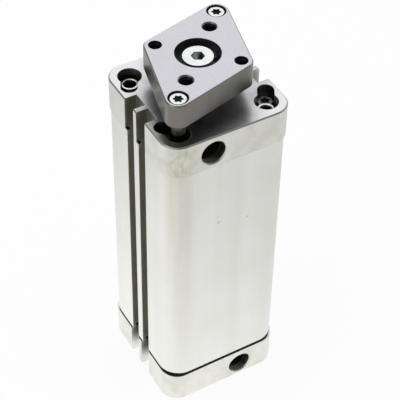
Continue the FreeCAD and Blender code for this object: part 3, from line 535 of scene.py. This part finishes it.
# Moulded nitrile rubber: matt black with a dusty bloom
rubberLook = {
    "colour": "#141413", "roughness": 0.7, "roughnessSpread": 0.08, "ior": 1.52, "specular": 0.08,
    # Edges painted lighter as a highlight
    "edgeColour": "#2A2A28", "edgeRoundMm": 0.12,
    "grainMm": 0.25, "grainDetail": 3.0, "bump": 0.3, "bumpMm": 0.02,
    "dustColour": "#242422", "dustFrom": 0.45, "dustFull": 0.75,
    # Recesses painted darker as shade
    "recessColour": "#0C0C0B", "recessReachMm": 2.0, "recessFrom": 0.94, "recessFull": 0.6,
}
# Turned filled plastic, and ferrite powder bound in plastic: dark, smoother than the rubber
plasticLook = dict(rubberLook, colour="#232323", dustColour="#303030", roughness=0.45, ior=1.5, specular=0.5)
magnetLook = dict(rubberLook, colour="#2E2B2A", dustColour="#3B3736", roughness=0.55, ior=1.55, specular=0.4)

# Each finish: how it is made, its look and the CAD nodes that have it
finishes = {
    "anodisedExtrusion": (makeAnodised, tubeLook, ["barrel_tube"]),
    "anodisedCap": (makeAnodised, capLook, ["front_cap"]),
    "anodisedRearCap": (makeAnodised, rearCapLook, ["rear_cap"]),
    "milledPlate": (makeAnodised, plateLook, ["yoke_plate"]),
    "zincYokeScrew": (makePlated, yokeScrewLook, ["yoke_screw", "piston_bolt"]),
    "zincGuideScrews": (makePlated, guideScrewLook, ["guide_pin_screws"]),
    "zincCapScrews": (makePlated, capScrewLook, ["front_cap_screws", "rear_cap_screws"]),
    "zincSleeves": (makePlated, sleeveLook, ["front_tie_sleeves", "rear_tie_sleeves"]),
    "cutThread": (makePlated, threadLook, []),
    "hardChrome": (makePlated, chromeLook, ["piston_rod"]),
    "paintedShadePinSteel": (makePlated, paintedShadePinLook, ["guide_pin_near", "guide_pin_far"]),
    "sinteredBronze": (makePlated, bronzeLook, ["rod_bush", "guide_bush_near", "guide_bush_far"]),
    "turnedAluminium": (makePlated, turnedLook, ["piston_front_half", "piston_rear_half"]),
    "nitrileRubber": (makeMoulded, rubberLook, ["rear_gasket", "front_cap_seal", "rod_wiper", "front_bumper",
                                                "rear_bumper", "piston_front_seal", "piston_rear_seal",
                                                "rod_seal_ring"]),
    "turnedPlastic": (makeMoulded, plasticLook, ["piston_guide_ring"]),
    "bondedFerrite": (makeMoulded, magnetLook, ["magnet_ring"]),
}
materials = {}
for name, (make, look, dressed) in finishes.items():
    materials[name] = make(name, look)
    for node in dressed:
        for slot in nodes[node].material_slots:
            slot.material = materials[name]
print("finishes made:", len(materials))

# A thread's ridge: steps in each turn, and sides of its section
ridgeSettings = {"steps": 32, "sides": 3}


def makeThreadTree(settings):
    # A ridge that winds up from each point of the mesh, its crest towards the axis
    tree = bpy.data.node_groups.new("threadTurns", "GeometryNodeTree")
    tree.interface.new_socket("Geometry", in_out="INPUT", socket_type="NodeSocketGeometry")
    for name in ("Radius", "Pitch", "Length", "Ridge"):
        tree.interface.new_socket(name, in_out="INPUT", socket_type="NodeSocketFloat")
    tree.interface.new_socket("Tilt", in_out="INPUT", socket_type="NodeSocketRotation")
    tree.interface.new_socket("Finish", in_out="INPUT", socket_type="NodeSocketMaterial")
    tree.interface.new_socket("Geometry", in_out="OUTPUT", socket_type="NodeSocketGeometry")
    given = addNode(tree, "NodeGroupInput", {}).outputs
    turns = addNode(tree, "ShaderNodeMath", {0: given["Length"], 1: given["Pitch"]}, operation="DIVIDE")
    spiral = addNode(tree, "GeometryNodeCurveSpiral", {
        "Resolution": settings["steps"], "Rotations": turns.outputs[0], "Start Radius": given["Radius"],
        "End Radius": given["Radius"], "Height": given["Length"]})
    level = addNode(tree, "GeometryNodeSetCurveNormal", {"Curve": spiral.outputs[0]}, mode="Z_UP")
    section = addNode(tree, "GeometryNodeCurvePrimitiveCircle", {"Resolution": settings["sides"],
                                                                 "Radius": given["Ridge"]})
    ridge = addNode(tree, "GeometryNodeCurveToMesh", {
        "Curve": level.outputs[0], "Profile Curve": section.outputs[0], "Fill Caps": True})
    placed = addNode(tree, "GeometryNodeInstanceOnPoints", {
        "Points": given["Geometry"], "Instance": ridge.outputs[0], "Rotation": given["Tilt"]})
    real = addNode(tree, "GeometryNodeRealizeInstances", {"Geometry": placed.outputs[0]})
    finish = addNode(tree, "GeometryNodeSetMaterial", {"Geometry": real.outputs[0],
                                                       "Material": given["Finish"]})
    addNode(tree, "NodeGroupOutput", {0: finish.outputs[0]})
    return tree


def squareOf(mount):
    # The four holes of a square bolt pattern
    x, y, z = mount["pos_m"]
    across, along = (mount["dims"][name] * mm / 2 for name in ("spacing_x_mm", "spacing_y_mm"))
    return [(x + side * across, y + end * along, z) for side in (-1, 1) for end in (-1, 1)]


mounts = {mount["name"]: mount for mount in frame["record"]["mounts"]}
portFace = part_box("front_cap")[0][1]
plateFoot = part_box("yoke_plate")[0][2]
frontSleeves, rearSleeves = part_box("front_tie_sleeves"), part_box("rear_tie_sleeves")
# Threads start this many mm in from a port's face, and from the end of a plate's hole or of a sleeve
portInset = 2.4
endInset = 0.6
sleeveLength = 12.0  # of thread in a sleeve
# Each kind of thread: where it starts, its direction and its sizes in mm
threadSettings = {
    "portThreads": {
        "starts": [(mounts[name]["pos_m"][0], portFace + portInset * mm, mounts[name]["pos_m"][2])
                   for name in ("front_port", "rear_port")],
        "tilt": (-90, 0, 0), "radius": mounts["front_port"]["dims"]["r_mm"], "pitch": 0.907, "length": 9.0,
        "ridge": 0.4, "finish": "cutThread", "body": "barrel", "slot": "body_aluminium"},
    "plateThreads": {
        "starts": [(x, y, plateFoot + endInset * mm) for x, y, z in squareOf(mounts["plate_bolts"])],
        "tilt": (0, 0, 0), "radius": mounts["plate_bolts"]["dims"]["hole_r_mm"], "pitch": 0.8, "length": 7.3,
        "ridge": 0.34, "finish": "cutThread", "body": "rod", "slot": "plate_aluminium"},
    "frontSleeveThreads": {
        "starts": [(*mounts[name]["pos_m"][:2], frontSleeves[1][2] - (endInset + sleeveLength) * mm)
                   for name in ("front_mount_left", "front_mount_right")],
        "tilt": (0, 0, 0), "radius": mounts["front_mount_left"]["dims"]["r_mm"], "pitch": 0.8,
        "length": sleeveLength, "ridge": 0.34, "finish": "cutThread", "body": "barrel",
        "slot": "screw_steel"},
    "rearSleeveThreads": {
        "starts": [(x, y, rearSleeves[0][2] + endInset * mm)
                   for x, y, z in squareOf(mounts["rear_mounting"])],
        "tilt": (0, 0, 0), "radius": mounts["rear_mounting"]["dims"]["hole_r_mm"], "pitch": 0.8,
        "length": sleeveLength, "ridge": 0.34, "finish": "cutThread", "body": "barrel",
        "slot": "screw_steel"},
}
threadTree = makeThreadTree(ridgeSettings)


def makeThread(name, settings):
    mesh = bpy.data.meshes.new(name)
    mesh.from_pydata(settings["starts"], [], [])
    piece = bpy.data.objects.new(name, mesh)
    bpy.context.scene.collection.objects.link(piece)
    modifier = piece.modifiers.new("turns", "NODES")
    modifier.node_group = threadTree
    values = {size.title(): settings[size] * mm for size in ("radius", "pitch", "length", "ridge")}
    values["Tilt"] = [math.radians(angle) for angle in settings["tilt"]]
    values["Finish"] = materials[settings["finish"]]
    for socket in threadTree.interface.items_tree:
        if socket.name in values:
            modifier[socket.identifier] = values[socket.name]
    evaluated = piece.evaluated_get(bpy.context.evaluated_depsgraph_get())
    wound = bpy.data.meshes.new_from_object(evaluated)
    piece.modifiers.clear()
    piece.data = wound
    wound.name = name
    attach(piece, settings["body"])
    print(name, len(wound.polygons), "faces")


for name, settings in threadSettings.items():
    makeThread(name, settings)

# Screws whose sockets lie as in the photograph: each turned about its own axis from where the solid has it
turnedScrews = {
    "yokeScrew": {"node": "yoke_screw", "turns": {"all": 30.0}, "finish": "zincYokeScrew", "body": "rod",
                  "slot": "screw_steel", "mergeMm": 0.0005},
    "guideScrews": {"node": "guide_pin_screws", "turns": {"far": 30.0}, "finish": "zincGuideScrews",
                    "body": "rod", "slot": "screw_steel", "mergeMm": 0.0005},
}


def turnScrew(name, settings):
    shape = bmesh.new()
    shape.from_mesh(nodes[settings["node"]].data)
    bmesh.ops.remove_doubles(shape, verts=shape.verts, dist=settings["mergeMm"] * mm)
    for which, angle in settings["turns"].items():
        corners = [corner for corner in shape.verts if which == "all" or corner.co.x > 0]  # far: +X
        x, y = ((min(corner.co[axis] for corner in corners) + max(corner.co[axis] for corner in corners)) / 2
                for axis in (0, 1))
        bmesh.ops.rotate(shape, verts=corners, cent=(x, y, 0.0),
                         matrix=Matrix.Rotation(math.radians(angle), 3, "Z"))
    mesh = bpy.data.meshes.new(name)
    shape.to_mesh(mesh)
    shape.free()
    mesh.materials.append(materials[settings["finish"]])
    piece = bpy.data.objects.new(name, mesh)
    bpy.context.scene.collection.objects.link(piece)
    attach(piece, settings["body"])
    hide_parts(settings["node"])
    print(name, len(mesh.polygons), "faces")


for name, settings in turnedScrews.items():
    turnScrew(name, settings)
